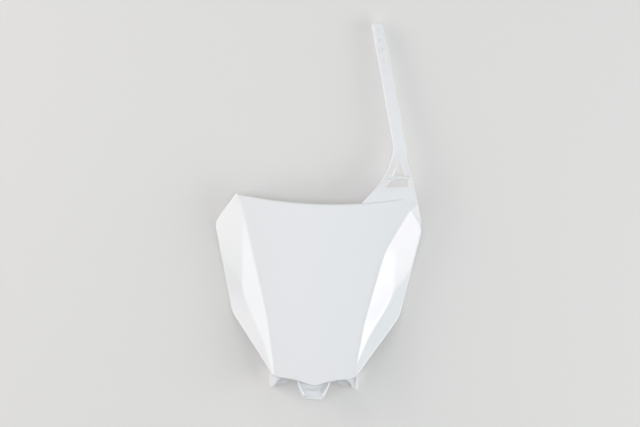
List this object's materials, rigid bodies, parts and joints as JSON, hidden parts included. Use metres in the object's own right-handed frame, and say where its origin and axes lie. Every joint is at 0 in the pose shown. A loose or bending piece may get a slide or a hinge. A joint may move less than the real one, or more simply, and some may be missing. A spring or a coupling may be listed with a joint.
{
  "type": "racing number board",
  "caption": "White moulded front number board with swept-back side wings, a holed fixing strap on an A-shaped root, a channel tongue and two rear ears.",
  "frame": {"origin": "on the ground under the middle of the whole outline, with the board lying face up", "axes": "+X to the right across the face, +Y up the board towards the strap, +Z out of the face"},
  "size_m": [0.2368, 0.4354, 0.03],
  "materials": {
    "white_plastic": "satin gloss injection moulding"
  },
  "bodies": {
    "root": {"number_board": "white_plastic"}
  },
  "joints": []
}
